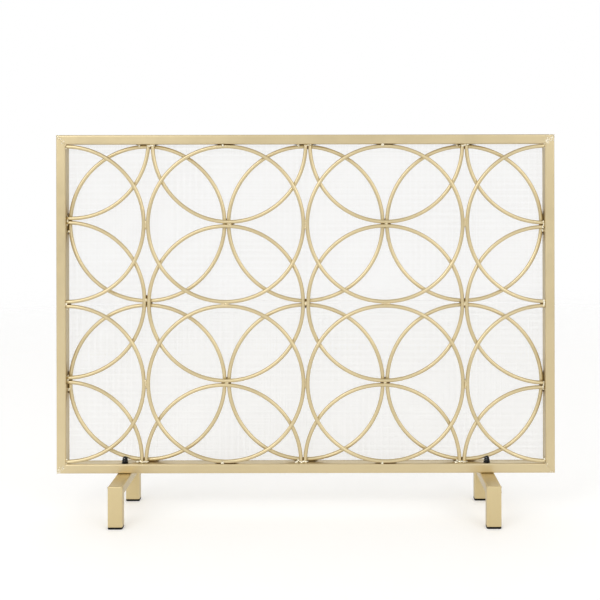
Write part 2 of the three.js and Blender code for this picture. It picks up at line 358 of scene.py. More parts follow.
def ring_name(layer, column, row):
    """The CAD node of a ring."""
    on_side = column in (0, COLUMNS)
    on_end = row in (0, ROWS)
    kind = "quarter_ring" if on_side and on_end else "half_ring" if on_side or on_end else "ring"
    return f"{layer}_{kind}_c{column + 1}_r{row + 1}"


def ring_span(column, row):
    """The start angle and sweep of a ring, in degrees from +X towards +Z, inside the frame's opening."""
    left, right = column == 0, column == COLUMNS
    top, bottom = row == 0, row == ROWS
    if not (left or right or top or bottom):
        return 0, 360
    if (left or right) and (top or bottom):
        start = {(1, 1): 270, (1, 0): 0, (0, 1): 180, (0, 0): 90}[(int(left), int(top))]
        return start, 90
    return (270 if left else 90 if right else 180 if top else 0), 180


def ring_circle(layer, column, row):
    """The centre of a ring and the radius of its rod's middle line, from its CAD box."""
    low, high = box_mm(ring_name(layer, column, row))
    middle = (low + high) / 2
    if column in (0, COLUMNS) and row in (0, ROWS):
        return beside_neighbours(layer, column, row, middle[1]), RING_RADIUS
    reach = RING_REACH
    if column in (0, COLUMNS):
        reach = (high[2] - low[2]) / 2
    if row in (0, ROWS):
        reach = (high[0] - low[0]) / 2
    x = {0: high[0] - reach, COLUMNS: low[0] + reach}.get(column, middle[0])
    z = {0: low[2] + reach, ROWS: high[2] - reach}.get(row, middle[2])
    return np.array([x, middle[1], z]), RING_RADIUS + reach - RING_REACH


def beside_neighbours(layer, column, row, depth):
    """The centre of a quarter ring, whose two ends stand beside those of the half rings next to it."""
    apart = 2 * PITCH - RING_RADIUS
    inward_x, inward_z = (1 if column == 0 else -1), (-1 if row == 0 else 1)
    on_rail, rail_radius = ring_circle(layer, column + 2 * inward_x, row)
    on_stile, stile_radius = ring_circle(layer, column, row - 2 * inward_z)
    x = on_rail[0] - inward_x * (rail_radius + apart)
    z = on_stile[2] - inward_z * (stile_radius + apart)
    return np.array([x, depth, z])


def arc_ends(centre, radius, column, row):
    """The angles where a ring's rod starts and ends, in degrees. A cut ring ends on the frame."""
    start, sweep = ring_span(column, row)
    if sweep == 360:
        return start, start + sweep
    edge_x, edge_z = lattice_point(column, row)
    ends = []
    for angle in (start, start + sweep):
        turn = math.radians(angle)
        past = (centre[0] - edge_x) * math.sin(turn) - (centre[2] - edge_z) * math.cos(turn)
        ends.append(angle + math.degrees(math.asin(past / radius)))
    return ends


def rod_radius(angle, seam):
    """The rod swells at its ground butt weld, with a nick left at one end of it."""
    along = ((angle - seam + math.pi) % (2 * math.pi) - math.pi) * RING_RADIUS
    swell = SEAM_SWELL * math.exp(-((along / SEAM_LENGTH) ** 2))
    nick = SEAM_NICK * math.exp(-(((along - SEAM_LENGTH) / SEAM_NICK_LENGTH) ** 2))
    return ROD_RADIUS + swell - nick


def ring_mesh(name, layer, column, row):
    """A rod bent to a ring, a touch out of true, with the swelling of its ground butt weld."""
    centre, radius = ring_circle(layer, column, row)
    start, end = arc_ends(centre, radius, column, row)
    whole = end - start == 360
    steps = max(8, round(RING_STEPS * (end - start) / 360))
    waves = [(n, rng.normal(0, RING_WOBBLE), rng.uniform(0, 2 * math.pi)) for n in (2, 3, 5)]
    seam = math.radians(SEAM_PLACES.get(name, rng.choice(SEAM_CHOICES)))
    turn = np.linspace(0, 2 * math.pi, ROD_SIDES, endpoint=False)
    sections = []
    for k in range(steps if whole else steps + 1):
        angle = math.radians(start + (end - start) * k / steps)
        bend = radius + sum(size * math.cos(n * angle + phase) for n, size, phase in waves)
        for spot, push in FLAT_SPOTS.get(name, ()):
            away = (math.degrees(angle) - spot + 180) % 360 - 180
            bend += push * math.exp(-((away / FLAT_SPOT_WIDTH) ** 2))
        rod = rod_radius(angle, seam)
        outward = np.array([math.cos(angle), 0, math.sin(angle)])
        out, across = rod * np.cos(turn)[:, None], rod * np.sin(turn)[:, None]
        sections.append(centre + (bend + out) * outward + across * np.array([0, 1, 0]))
    return make_mesh(name, *loft(sections[::-1], closed=whole))


def add_rings(material):
    """Every ring of every layer."""
    for layer in LAYERS:
        for column, row in rings_of(layer):
            node = ring_name(layer, column, row)
            mesh = ring_mesh(node, layer, column, row)
            add_piece(node.replace("ring", "rod_ring"), mesh, material, "screen", [node])


def weld_dabs(centre, along, across, length, size, count):
    """A short run of weld dabs that overlap unevenly, on the front of the rods."""
    axes = (along, across, FRONT)
    blobs = []
    for k in range(count):
        place = (k - (count - 1) / 2) * (2 * length / count)
        wander = rng.uniform(-DAB_WANDER, DAB_WANDER, 3) * size
        spot = centre + along * (place + wander[0]) + across * wander[1] + FRONT * wander[2]
        halves = np.array([length / count + size * 0.6, size, size]) * rng.uniform(0.8, 1.2, 3)
        blobs.append(weld_blob(spot, axes, halves, DAB_LUMP, DAB_STEPS, DAB_STEPS))
    return blobs


def ring_joints(layer):
    """Where the rods of a layer meet: the place, the rods' direction there, outward, and the kind."""
    circles = {spot: ring_circle(layer, *spot) for spot in rings_of(layer)}
    for (column, row), (centre, radius) in circles.items():
        for step_x, step_z in ((1, 0), (0, -1), (-1, 0), (0, 1)):
            spot = (column + step_x, row - step_z)
            if not (0 <= spot[0] <= COLUMNS and 0 <= spot[1] <= ROWS):
                continue
            outward = np.array([step_x, 0, step_z], float)
            along = np.array([abs(step_z), 0, abs(step_x)], float)
            tip = centre + radius * outward
            at_frame = row in (0, ROWS) if step_x else column in (0, COLUMNS)
            if at_frame:
                edge_x, edge_z = lattice_point(column, row)
                tip = np.where(along > 0, [edge_x, 0, edge_z], tip)
            neighbour = circles.get((column + 2 * step_x, row - 2 * step_z))
            if neighbour is None:
                yield tip, along, outward, "end" if at_frame else "side"
            elif step_x > 0 or step_z < 0:
                meeting = (tip + neighbour[0] - neighbour[1] * outward) / 2
                meeting = np.where(outward != 0, meeting, tip)
                yield meeting, along, outward, "pair" if at_frame else "tangent"


def tangent_weld(layer, spot, along, outward, drift):
    """Two rods side by side: a row of tacks, and behind them a dark root blob in the crevice, scorched weld
    that also stands in as painted crevice shade.
    """
    root_length, tacks = TANGENT_WELDS[layer]
    root = (root_length, *TANGENT_ROOT)
    roots = [weld_blob(spot - FRONT, (along, outward, FRONT), root, lump=ROOT_LUMP)]
    return weld_dabs(spot + FRONT + along * drift, along, outward, *tacks), roots


def side_weld(layer, spot, along, outward, drift):
    """A rod whose side touches the frame: one big bead, and a small tack on either side of it."""
    edge = spot + outward * (ROD_RADIUS + 0.1)
    # The root is a dark blob along the frame's side: scorched weld and painted shade of the crevice between
    # rod and frame.
    roots = [weld_blob(edge + FRONT * 0.2, (along, outward, FRONT), SIDE_ROOT, lump=ROOT_LUMP)]
    bead = edge + along * (SIDE_BEADS[layer] + drift * 0.4) - outward * 1.2 + FRONT * 3.4
    dabs = weld_dabs(bead, along, outward, 1.6, rng.uniform(*SIDE_BEAD_SIZE), 3)
    for place in (rng.uniform(*SIDE_TACK_PLACE), -rng.uniform(*SIDE_TACK_PLACE)):
        dabs += weld_dabs(edge + along * place - outward, along, outward, 1.8, 1.3, 2)
    return dabs, roots


def pair_weld(spot, along, outward):
    """Two cut rods that end together on the frame: beads on and between them, and a little spatter."""
    inward = np.sign(OPENING_MIDDLE - spot) * along
    # The root is a dark blob between the two rod ends: scorched weld and painted crevice shade.
    roots = [weld_blob(spot + inward * 5, (inward, outward, FRONT), PAIR_ROOT, lump=ROOT_LUMP)]
    size = PAIR_BEADS["rail" if outward[0] else "left" if spot[0] < OPENING_MIDDLE[0] else "right"]
    on_bottom_rail = spot[2] < OPENING_LOW[2] + ROD_RADIUS
    dabs = []
    for side in PAIR_BEAD_PLACES["bottom" if on_bottom_rail else "other"]:
        place = spot + outward * side * 4.6 + inward * rng.uniform(1.0, 2.8) + FRONT * size
        dabs += weld_dabs(place, outward, inward, size, size + rng.uniform(-0.3, 0.4), 2)
    for _ in range(SPATTER_DROPS):
        place = spot + outward * rng.uniform(-11, 11) + inward * rng.uniform(0.6, 3) + FRONT * 2
        dabs += weld_dabs(place, outward, inward, 0.8, rng.uniform(0.8, 1.3), 1)
    return dabs, roots


def end_weld(spot, along, outward):
    """One cut rod that ends alone on the frame."""
    inward = np.sign(OPENING_MIDDLE - spot) * along
    return weld_dabs(spot + inward, outward, inward, *END_DABS), []


def ring_welds(layer):
    """A layer's welds: bright dabs on the frame, duller tacks between rods, and the dark roots of both. The
    dabs and tacks are paler than the gold, partly as a painted highlight; the roots are scorched weld with
    painted crevice shade.
    """
    welds = {"welds": [], "tacks": [], "weld_roots_and_shade": []}
    for spot, along, outward, kind in ring_joints(layer):
        drift = rng.uniform(-WELD_DRIFT, WELD_DRIFT)
        if kind == "tangent":
            dabs, roots = tangent_weld(layer, spot, along, outward, drift)
        elif kind == "side":
            dabs, roots = side_weld(layer, spot, along, outward, drift)
        elif kind == "pair":
            dabs, roots = pair_weld(spot, along, outward)
        else:
            dabs, roots = end_weld(spot, along, outward)
        welds["tacks" if kind == "tangent" else "welds"] += dabs
        welds["weld_roots_and_shade"] += roots
    return welds


# -------- frame

# How many lumps the grinder left on each corner, by the directions from the corner into the frame.
CORNER_LUMPS = {(1, -1): 9, (-1, -1): 32, (1, 1): 16, (-1, 1): 4}
LEG_LUMPS = 3
LUMP_SPREAD = 3.0
MITRE_SEAM_SHORT = 2.4
MITRE_SEAM_WIDTH = 1.9
MITRE_SEAM_HEIGHT = 0.22


def add_frame(material, speck_paint_with_painted_glint):
    """The four mitred tubes of the frame, with the seams and the lumps of their corner welds."""
    middle = (PANEL_LOW[1] + PANEL_HIGH[1]) / 2
    depth = PANEL_HIGH[1] - PANEL_LOW[1]
    width, height = PANEL_HIGH[0] - PANEL_LOW[0], PANEL_HIGH[2] - PANEL_LOW[2]
    left, right, low, high = PANEL_LOW[0], PANEL_HIGH[0], PANEL_LOW[2], PANEL_HIGH[2]
    tubes = {
        "top_rail": ((left, middle, high), (1, 0, 0), (0, 0, 1), width),
        "bottom_rail": ((right, middle, low), (-1, 0, 0), (0, 0, -1), width),
        "left_stile": ((left, middle, low), (0, 0, 1), (-1, 0, 0), height),
        "right_stile": ((right, middle, high), (0, 0, -1), (1, 0, 0), height),
    }
    for name, (origin, along, outward, length) in tubes.items():
        mesh = tube_mesh(name, origin, along, outward, length, FRAME_FACE, depth)
        add_piece(f"{name}_tube", mesh, material, "screen", [name])
    seams, specks = [], []
    for x, inward_x in ((left, 1), (right, -1)):
        for z, inward_z in ((low, 1), (high, -1)):
            lumps = CORNER_LUMPS[(inward_x, inward_z)]
            corner, inward = (x, middle, z), ((inward_x, 0, 0), (0, 0, inward_z))
            seam, speck = mitre_welds(corner, *inward, (0, 1, 0), FRAME_FACE, depth, lumps)
            seams += seam
            specks += speck
    # The corner specks take the paler weld paint, which is partly a painted highlight.
    for name, blobs, paint in (("welds", seams, material), ("specks", specks, speck_paint_with_painted_glint)):
        points, quads, caps = merge(blobs)
        points[:, 0] = np.clip(points[:, 0], left, right)
        points[:, 2] = np.clip(points[:, 2], low, high)
        mesh = make_mesh(f"frame_corner_{name}", points, quads, caps)
        add_piece(f"frame_corner_{name}", mesh, paint, "screen")


def mitre_welds(corner, inward_a, inward_b, across, face, depth, lumps=LEG_LUMPS):
    """The ground-down seam on both sides of a mitre with the lumps left on it, and its inside fillet."""
    corner, across = np.array(corner, float), np.array(across, float)
    inward_a, inward_b = np.array(inward_a, float), np.array(inward_b, float)
    diagonal = (inward_a + inward_b) / math.sqrt(2)
    sideways = (inward_a - inward_b) / math.sqrt(2)
    middle = corner + (inward_a + inward_b) * face / 2
    half_length = face / math.sqrt(2) - MITRE_SEAM_SHORT
    axes = (diagonal, sideways, across)
    blobs, specks = [], []
    for side in (-1, 1):
        skin = middle + side * across * (depth / 2 - 0.05)
        halves = (half_length, MITRE_SEAM_WIDTH + rng.uniform(-0.3, 0.5), MITRE_SEAM_HEIGHT)
        blobs.append(weld_blob(skin, axes, halves, lump=0.35, steps=30))
        for _ in range(lumps):
            place = skin + diagonal * rng.uniform(-1, 1) * half_length
            place = place + sideways * rng.normal(0, LUMP_SPREAD)
            halves = (rng.uniform(0.9, 2.2), rng.uniform(0.7, 1.4), rng.uniform(0.4, 0.8))
            specks.append(weld_blob(place, axes, halves, lump=0.3, steps=10, sides=10))
    inside = corner + (inward_a + inward_b) * (face - 0.2)
    halves = (depth / 2 - 3, 1.7, 1.4)
    blobs.append(weld_blob(inside, (across, sideways, diagonal), halves, lump=0.2, ripples=6))
    return blobs, specks


# -------- spark mesh


def wire_bundle(lines, side_a, side_b):
    """Thin wires along polylines (wires, points, 3), as one set of points, quads and caps."""
    wires, count, _ = lines.shape
    turn = np.linspace(0, 2 * math.pi, WIRE_SIDES, endpoint=False)
    round_a = np.cos(turn)[:, None] * np.array(side_a)
    round_b = np.sin(turn)[:, None] * np.array(side_b)
    offsets = WIRE_RADIUS * (round_a + round_b)
    points = (lines[:, :, None, :] + offsets[None, None]).reshape(-1, 3)
    wire = np.arange(wires)[:, None, None] * count * WIRE_SIDES
    station = np.arange(count - 1)[None, :, None] * WIRE_SIDES
    side = np.arange(WIRE_SIDES)[None, None, :]
    turned = (side + 1) % WIRE_SIDES
    base = wire + station
    quads = np.stack(
        [base + side, base + turned, base + WIRE_SIDES + turned, base + WIRE_SIDES + side], axis=-1
    ).reshape(-1, 4)
    caps = []
    for k in range(wires):
        first = k * count * WIRE_SIDES
        last = first + (count - 1) * WIRE_SIDES
        caps.append([first + s for s in reversed(range(WIRE_SIDES))])
        caps.append([last + s for s in range(WIRE_SIDES)])
    return points, quads, caps


def mesh_sag(x, z, low, high):
    """How far the cloth bulges to the fire side between its strips."""
    u = (x - low[0]) / (high[0] - low[0])
    v = (z - low[2]) / (high[2] - low[2])
    edge = np.clip(np.minimum(np.minimum(u, 1 - u) * 12, np.minimum(v, 1 - v) * 9), 0, 1)
    waves = 1 + 0.6 * np.sin(7.1 * u + 2.3 * v + 0.4) * np.cos(4.3 * v - 1.9 * u)
    return MESH_SAG * waves * edge


def wire_places(low, high):
    """Wires at their pitch, drawn a little together in the loom's groups, and each a touch astray."""
    places = np.arange(low + WIRE_PITCH / 2 + REED_SHIFT, high - WIRE_PITCH / 2, WIRE_PITCH)
    count = np.arange(len(places))
    reed = REED_SHIFT * np.sin(2 * math.pi * count / REED_WIRES)
    stray = np.clip(rng.normal(0, WIRE_WANDER, len(places)), -WIRE_STRAY_MOST, WIRE_STRAY_MOST)
    return places + reed + stray


def add_spark_mesh(material):
    """The wire cloth, woven over and under, in a few groups of wires each way."""
    low, high = box_mm("spark_mesh")
    middle = (low[1] + high[1]) / 2
    across = wire_places(low[0], high[0])
    upward = wire_places(low[2], high[2])
    column, row = np.meshgrid(np.arange(len(across)), np.arange(len(upward)), indexing="ij")
    weave = np.where((column + row) % 2 == 0, WIRE_RADIUS, -WIRE_RADIUS)
    x, z = across[column], upward[row]
    depth = middle + mesh_sag(x, z, low, high)
    warp = np.stack([x, depth + weave, z], axis=-1)
    weft = np.stack([x, depth - weave, z], axis=-1).transpose(1, 0, 2)
    bundles = (
        ("warp", warp, (1, 0, 0), (0, 1, 0)),
        ("weft", weft, (0, 1, 0), (0, 0, 1)),
    )
    for kind, lines, side_a, side_b in bundles:
        for group, part in enumerate(np.array_split(lines, WIRE_GROUPS)):
            name = f"spark_mesh_{kind}_{group + 1}"
            mesh = make_mesh(name, *wire_bundle(part, side_a, side_b))
            add_piece(name, mesh, material, "screen", ["spark_mesh"])


# -------- strips on the back


def spot_stations(length):
    """Places along a strip, close together at each spot weld, and the places of the welds."""
    count = max(2, round(length / SPOT_PITCH))
    spots = (np.arange(count) + 0.5) * length / count
    near = SPOT_RADIUS * np.linspace(-SPOT_REACH, SPOT_REACH, SPOT_STEPS)
    ends = [0, STRIP_EDGE, length - STRIP_EDGE, length]
    stations = np.concatenate([ends, *[spot + near for spot in spots]])
    return np.unique(np.round(stations, 4)), spots


def spot_dent(along, across, spots):
    """How deep the electrode's dimples are at a point of a strip, below zero, with a low rim round each."""
    dent = 0
    for spot in spots:
        away = math.hypot(along - spot, across) / SPOT_RADIUS
        rim = SPOT_RIM * math.exp(-(((away - SPOT_RIM_PLACE) / SPOT_RIM_WIDTH) ** 2))
        dent += SPOT_DEPTH * (rim - math.exp(-(away**4)))
    return dent


def strip_section(along, at_end, rows, width, thickness, spots):
    """A section (along, across, out) of a strip: over its dimpled rear face, and back over its front."""
    lowered = [at_end or row in (rows[0], rows[-1]) for row in rows]
    points = []
    for row, low in zip(rows, lowered):
        dent = spot_dent(along, row - width / 2, spots)
        points.append((along, row, thickness - (STRIP_EDGE if low else -dent)))
    for row, low in zip(rows[::-1], lowered[::-1]):
        points.append((along, row, STRIP_EDGE if low else 0))
    inset = STRIP_EDGE if at_end else 0
    section = np.array(points)
    section[:, 1] = np.clip(section[:, 1], inset, width - inset)
    return section


def strip_mesh(node, along_x):
    """A flat bar with eased edges and a row of spot-weld dimples on its rear face."""
    low, high = box_mm(node)
    length_axis, width_axis = (0, 2) if along_x else (2, 0)
    length, width = high[length_axis] - low[length_axis], high[width_axis] - low[width_axis]
    thickness = high[1] - low[1]
    stations, spots = spot_stations(length)
    flat_rows = np.linspace(STRIP_FLAT_FROM, width - STRIP_FLAT_FROM, STRIP_FLAT_ROWS)
    rows = np.concatenate([[0, STRIP_EDGE], flat_rows, [width - STRIP_EDGE, width]])
    placed = []
    for along in stations:
        at_end = along in (stations[0], stations[-1])
        section = strip_section(along, at_end, rows, width, thickness, spots)
        points = np.zeros_like(section)
        points[:, length_axis] = low[length_axis] + section[:, 0]
        points[:, width_axis] = low[width_axis] + section[:, 1]
        points[:, 1] = low[1] + section[:, 2]
        placed.append(points if along_x else points[::-1])
    return make_mesh(node, *loft(placed))


def add_strips(material):
    """The four strips that clamp the spark mesh."""
    for edge in ("top", "bottom", "left", "right"):
        node = f"{edge}_mesh_strip"
        mesh = strip_mesh(node, along_x=edge in ("top", "bottom"))
        add_piece(f"{node}_bar", mesh, material, "screen", [node])


# -------- legs and feet

PAD_TOP = 4.2
PLUG_INSET = 1.8
PLUG_RIB = 0.15
PLUG_RIB_RISE = 0.6
PLUG_RIB_PLACES = (3.0, 7.5)
# (inset, height) up the pad's bottom edge.
PAD_EDGE = ((1.7, 0.0), (1.0, 0.12), (0.45, 0.45), (0.12, 1.0), (0.0, 1.7))


def level_section(centre, outline, z):
    """A closed section lying level at height z, from an outline round a centre."""
    x, y = centre[0] + outline[:, 0], centre[1] + outline[:, 1]
    return np.stack([x, y, np.full(len(outline), z)], axis=1)


def foot_profile(height):
    """(inset, height) up a foot: a pad with eased edges, then a plug with two ribs."""
    profile = [*PAD_EDGE, (0.0, PAD_TOP - 0.5), (0.12, PAD_TOP - 0.15), (0.5, PAD_TOP)]
    profile += [(PLUG_INSET + 0.1, PAD_TOP), (PLUG_INSET, PAD_TOP + 0.2)]
    for place in PLUG_RIB_PLACES:
        rib = PAD_TOP + place
        profile += [
            (PLUG_INSET, rib),
            (PLUG_INSET - PLUG_RIB, rib + PLUG_RIB_RISE),
            (PLUG_INSET, rib + 2 * PLUG_RIB_RISE),
        ]
    return profile + [(PLUG_INSET + 0.2, height - 0.6), (PLUG_INSET + 0.9, height)]


def foot_mesh(node):
    """A moulded rubber foot."""
    low, high = box_mm(node)
    centre = (low + high) / 2
    width, depth, height = high - low
    sections = []
    for inset, z in foot_profile(height):
        corner = max(0.5, TUBE_CORNER - inset / 2)
        outline = rounded_outline(width - 2 * inset, depth - 2 * inset, corner)
        sections.append(level_section(centre, outline, z))
    return make_mesh(node, *loft(sections))


def add_leg(side, paint, rubber):
    """A leg: its bar and posts, their corner welds and the two feet."""
    body = f"{side}_leg"
    bar_low, bar_high = box_mm(f"{side}_leg_bar", f"{side}_front_post", f"{side}_rear_post")
    x = (bar_low[0] + bar_high[0]) / 2
    depth = bar_high[0] - bar_low[0]
    front, rear, top, bottom = bar_low[1], bar_high[1], bar_high[2], bar_low[2]
    face = top - box_mm(f"{side}_leg_bar")[0][2]
    bar = tube_mesh(body, (x, front, top), (0, 1, 0), (0, 0, 1), rear - front, face, depth)
    add_piece(f"{side}_leg_bar_tube", bar, paint, body, [f"{side}_leg_bar"])
    blobs = []
    for end, y, outward in (("front", front, -1), ("rear", rear, 1)):
        post = f"{side}_{end}_post"
        down, out = (0, 0, -1), (0, outward, 0)
        tube = tube_mesh(post, (x, y, top), down, out, top - bottom, face, depth, far_mitre=False)
        add_piece(f"{post}_tube", tube, paint, body, [post])
        foot = f"{side}_{end}_foot"
        add_piece(f"{foot}_pad", foot_mesh(foot), rubber, body, [foot])
        seams, specks = mitre_welds((x, y, top), (0, -outward, 0), (0, 0, -1), (1, 0, 0), face, depth)
        blobs += seams + specks
    points, quads, caps = merge(blobs)
    points[:, 1] = np.clip(points[:, 1], front, rear)
    points[:, 2] = np.minimum(points[:, 2], top)
    welds = make_mesh(f"{side}_leg_welds", points, quads, caps)
    add_piece(f"{side}_leg_welds", welds, paint, body)


# -------- fasteners

ROUND_STEPS = 72
NUT_FLATS = 11.0
NUT_CORNER = NUT_FLATS / math.sqrt(3)
NUT_HEX_HEIGHT = 4.6
NUT_DOME_RADIUS = 5.2
NUT_DOME_STEPS = 14
WASHER_HOLE = 3.3
WASHER_EASE = 0.3
EASE_STEPS = 4
BOLT_HEAD = 4.0
SHANK_RADIUS = 3.0
THREAD_ROOT = 2.62
THREAD_CREST = 2.98
THREAD_TURNS = 15
THREAD_PITCH = 1.0
THREAD_LENGTH = 16.0


def turned_sections(profile, centre, flats=None):
    """Sections of a turned part from (radius, height). Rows above a hexagon's flats are cut to it."""
    angles = np.linspace(0, 2 * math.pi, ROUND_STEPS, endpoint=False)
    hexagon = None
    if flats:
        hexagon = flats / 2 / np.cos((angles + math.pi / 6) % (math.pi / 3) - math.pi / 6)
    sections = []
    for radius, z in profile:
        radii = np.full(ROUND_STEPS, radius) if hexagon is None else np.minimum(radius, hexagon)
        outline = np.stack([radii * np.cos(angles), radii * np.sin(angles)], axis=1)
        sections.append(level_section(centre, outline, z))
    return sections


def arc_profile(centre_r, centre_z, radius, start, end, steps):
    """Points on an arc in the (radius, height) plane, angles in degrees."""
    angles = [math.radians(start + (end - start) * k / steps) for k in range(steps + 1)]
    return [(centre_r + radius * math.cos(a), centre_z + radius * math.sin(a)) for a in angles]


def cap_nut_mesh(node):
    """A chamfered hexagon with a dome on top, and a small chamfer round its bore."""
    low, high = box_mm(node)
    base, tip = low[2], high[2]
    hex_top = base + NUT_HEX_HEIGHT
    corner, dome = NUT_CORNER, NUT_DOME_RADIUS
    profile = [(3.2, base + 0.25), (3.4, base), (corner - 0.7, base), (corner - 0.35, base + 0.12)]
    profile += [(corner, base + 0.55), (corner, hex_top - 0.6), (corner - 0.35, hex_top - 0.2)]
    profile += [(corner - 0.7, hex_top - 0.02), (dome + 0.2, hex_top)]
    profile += [(dome + 0.05, hex_top + 0.08), (dome, hex_top + 0.3)]
    profile += arc_profile(0, tip - dome, dome, 0, 88, NUT_DOME_STEPS)
    return make_mesh(node, *loft(turned_sections(profile, (low + high) / 2, NUT_FLATS)))


def washer_mesh(node):
    """A flat ring with eased edges."""
    low, high = box_mm(node)
    rim = (high[0] - low[0]) / 2 - WASHER_EASE
    bore = WASHER_HOLE + WASHER_EASE
    under, over = low[2] + WASHER_EASE, high[2] - WASHER_EASE
    profile = []
    for radius, z, start in ((rim, under, -90), (rim, over, 0), (bore, over, 90), (bore, under, 180)):
        profile += arc_profile(radius, z, WASHER_EASE, start, start + 90, EASE_STEPS)
    return make_mesh(node, *loft(turned_sections(profile, (low + high) / 2), closed=True))


def bolt_mesh(node):
    """A hexagon head below, a shank, and a rolled thread where the nut grips it."""
    low, high = box_mm(node)
    corner = NUT_CORNER
    base, top, tip = low[2], low[2] + BOLT_HEAD, high[2]
    profile = [(3.6, base + 0.05), (corner - 1.0, base), (corner - 0.5, base + 0.15), (corner, base + 0.6)]
    profile += [(corner, top - 0.15), (corner - 0.15, top), (SHANK_RADIUS + 0.2, top)]
    profile += [(SHANK_RADIUS, top + 0.2), (SHANK_RADIUS, tip - THREAD_LENGTH)]
    for k in range(THREAD_TURNS):
        z = tip - THREAD_LENGTH + 0.4 + k * THREAD_PITCH
        profile += [(THREAD_ROOT, z), (THREAD_ROOT, z + 0.12)]
        profile += [(THREAD_CREST, z + 0.44), (THREAD_CREST, z + 0.56)]
    profile += [(2.5, tip - 0.3), (2.2, tip)]
    return make_mesh(node, *loft(turned_sections(profile, (low + high) / 2, NUT_FLATS)))


def add_fasteners(side, material):
    """A leg's bolt and washers, and the cap nut on top."""
    pieces = (
        (f"{side}_bolt", bolt_mesh, f"{side}_leg"),
        (f"{side}_head_washer", washer_mesh, f"{side}_leg"),
        (f"{side}_nut_washer", washer_mesh, "screen"),
        (f"{side}_cap_nut", cap_nut_mesh, f"{side}_nut"),
    )
    for node, shape, body in pieces:
        add_piece(f"{node}_steel", shape(node), material, body, [node])


# -------- materials


# The middle range of a noise value, which spread() stretches to the range it is given.
NOISE_LOW, NOISE_HIGH = 0.3, 0.7


def map_range(tree, value, old_low, old_high, low, high):
    """A node that maps a value's old range to low..high, clamped. Returns its output."""
    mapped = tree.nodes.new("ShaderNodeMapRange")
    numbers = {"From Min": old_low, "From Max": old_high, "To Min": low, "To Max": high}
    for key, number in numbers.items():
        mapped.inputs[key].default_value = number
    tree.links.new(value, mapped.inputs["Value"])
    return mapped.outputs["Result"]


class Nodes:
    """A small helper that adds and links the nodes of one material."""

    def __init__(self, material):
        self.tree = material.node_tree
        self.shader = self.tree.nodes["Principled BSDF"]
        self.place = self.tree.nodes.new("ShaderNodeTexCoord").outputs["Object"]

    def link(self, source, target):
        self.tree.links.new(source, target)

    def feed(self, source, socket_name):
        """Links a value into the shader."""
        self.link(source, self.shader.inputs[socket_name])

    def noise(self, scale, detail=2.0, rough=0.5):
        texture = self.tree.nodes.new("ShaderNodeTexNoise")
        texture.inputs["Scale"].default_value = scale
        texture.inputs["Detail"].default_value = detail
        texture.inputs["Roughness"].default_value = rough
        self.link(self.place, texture.inputs["Vector"])
        return texture.outputs["Fac"]

    def spread(self, value, low, high):
        """Maps a noise value's middle range to low..high."""
        return map_range(self.tree, value, NOISE_LOW, NOISE_HIGH, low, high)

    def mix(self, factor, first, second):
        mixed = self.tree.nodes.new("ShaderNodeMix")
        mixed.data_type = "RGBA"
        self.link(factor, mixed.inputs["Factor"])
        for socket, colour in ((mixed.inputs["A"], first), (mixed.inputs["B"], second)):
            if isinstance(colour, bpy.types.NodeSocket):
                self.link(colour, socket)
            else:
                socket.default_value = (*colour, 1)
        return mixed.outputs["Result"]

    def bump(self, height, distance, strength=1.0, under=None):
        bump = self.tree.nodes.new("ShaderNodeBump")
        bump.inputs["Distance"].default_value = distance
        bump.inputs["Strength"].default_value = strength
        self.link(height, bump.inputs["Height"])
        if under is not None:
            self.link(under, bump.inputs["Normal"])
        return bump.outputs["Normal"]


def new_material(name, metallic, roughness, **values):
    """A material and its nodes. The other values are shader sockets, with _ for each space."""
    material = bpy.data.materials.new(name)
    material.use_nodes = True
    nodes = Nodes(material)
    nodes.shader.inputs["Metallic"].default_value = metallic
    nodes.shader.inputs["Roughness"].default_value = roughness
    for key, value in values.items():
        nodes.shader.inputs[key.replace("_", " ")].default_value = value
    return material, nodes


# How the deep tone and the flecks of a gold paint differ from its own colour, in red, green and blue.
DEEP_TONE = (1, 0.985, 0.95)
FLECK_TONE = (0.9, 0.88, 0.84)
PAINT_EDGE_TINT = (0.64, 0.61, 0.56, 1)


def gold_paint(name, colour, roughness=0.36, peel=1.0, tone=0.06):
    """Champagne-gold metallic powder coat: drifting tone, fine speckle, and an orange-peel skin."""
    coat = {"Coat_Weight": 0.6, "Coat_Roughness": 0.2, "Specular_Tint": PAINT_EDGE_TINT}
    material, nodes = new_material(name, 0.9, roughness, **coat)
    pale = [min(1, c * (1 + tone)) for c in colour]
    deep = [c * (1 - tone) * k for c, k in zip(colour, DEEP_TONE)]
    drift = nodes.mix(nodes.spread(nodes.noise(5, 3), 0, 1), deep, pale)
    fleck = [c * k for c, k in zip(colour, FLECK_TONE)]
    speckle = nodes.spread(nodes.noise(1300, 2, 0.7), 0, 0.35)
    nodes.feed(nodes.mix(speckle, drift, fleck), "Base Color")
    rough = nodes.spread(nodes.noise(38, 4, 0.6), roughness - 0.05, roughness + 0.06)
    nodes.feed(rough, "Roughness")
    wave = nodes.bump(nodes.noise(160, 2), 0.00004 * peel, 0.6)
    nodes.feed(nodes.bump(nodes.noise(900, 3, 0.6), 0.000012 * peel, 0.8, wave), "Normal")
    return material


def wire_metal():
    """The drawn wire of the spark mesh, dulled by its thin paint."""
    material, nodes = new_material("spark_wire", 0.75, 0.42)
    tone = nodes.spread(nodes.noise(14, 4, 0.6), 0, 1)
    nodes.feed(nodes.mix(tone, (0.74, 0.72, 0.66), (0.83, 0.82, 0.77)), "Base Color")
    nodes.feed(nodes.spread(nodes.noise(420, 2), 0.36, 0.5), "Roughness")
    return material


def scorch_and_crevice_shade():
    """The root of a weld, scorched brown and thinly painted, its dark brown also standing in as painted
    shade of the crevice it fills.
    """
    material, nodes = new_material("scorch_and_crevice_shade", 0.0, 0.6, Specular_IOR_Level=0.1)
    tone = nodes.spread(nodes.noise(220, 4, 0.6), 0, 1)
    nodes.feed(nodes.mix(tone, (0.06, 0.030, 0.007), (0.20, 0.11, 0.028)), "Base Color")
    nodes.feed(nodes.bump(nodes.noise(700, 3, 0.6), 0.0002, 0.8), "Normal")
    return material


